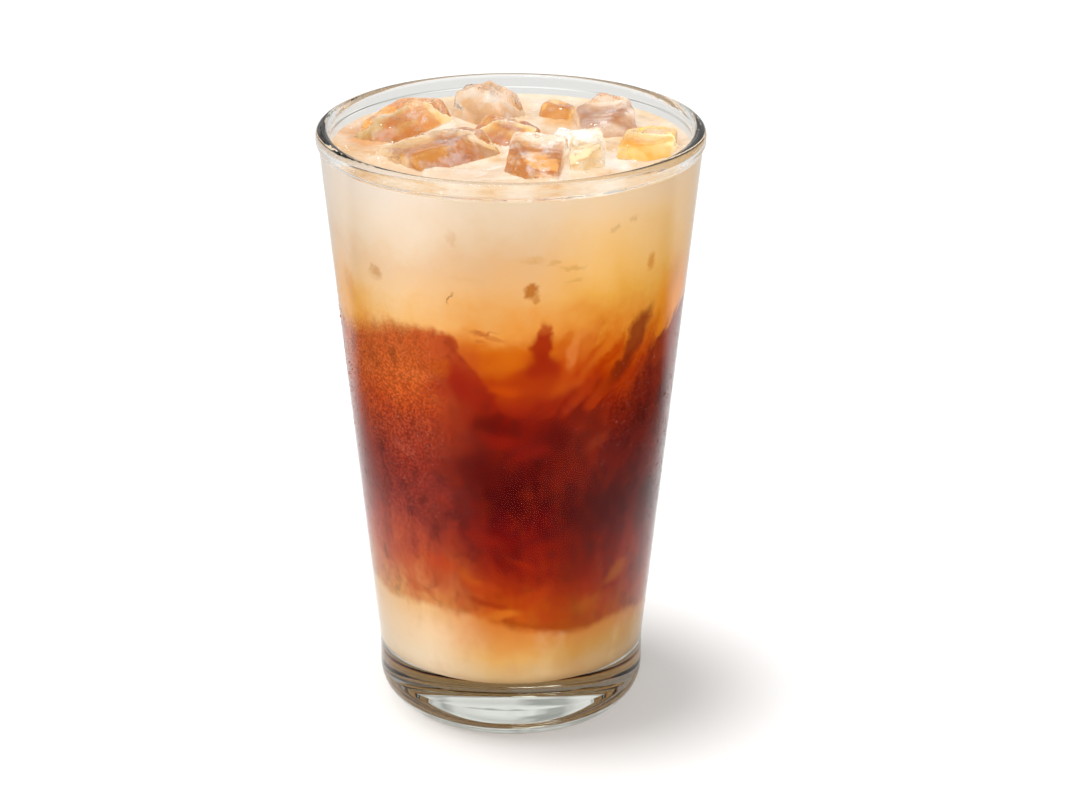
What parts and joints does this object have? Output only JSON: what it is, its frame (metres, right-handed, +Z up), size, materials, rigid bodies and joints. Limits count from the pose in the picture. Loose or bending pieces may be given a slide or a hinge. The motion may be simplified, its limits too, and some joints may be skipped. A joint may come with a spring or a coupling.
{
  "type": "thai iced tea in a glass",
  "caption": "Tapered mixing glass of layered iced milk tea: sweet milk at the foot, red tea above it, and a cream cap with melting ice that breaks its surface.",
  "frame": {"origin": "centre of the glass's foot, on the surface that it stands on", "axes": "+Z up along the glass's axis; -Y towards the side where the cream's tongue sinks; +X to the right of that side"},
  "size_m": [0.089, 0.089, 0.1461],
  "materials": {
    "clear_glass": "clear, fire-polished",
    "sweet_milk": "opaque liquid",
    "red_tea": "dark clear liquid",
    "cream": "opaque liquid",
    "ice": "wet ice"
  },
  "bodies": {
    "root": {"glass": "clear_glass", "sweet_milk": "sweet_milk", "red_tea": "red_tea", "cream": "cream", "ice_tall": "ice", "ice_long": "ice", "ice_broad": "ice", "ice_front": "ice", "ice_middle": "ice", "ice_clear": "ice", "ice_amber": "ice", "ice_small": "ice", "ice_sliver": "ice"}
  },
  "joints": []
}
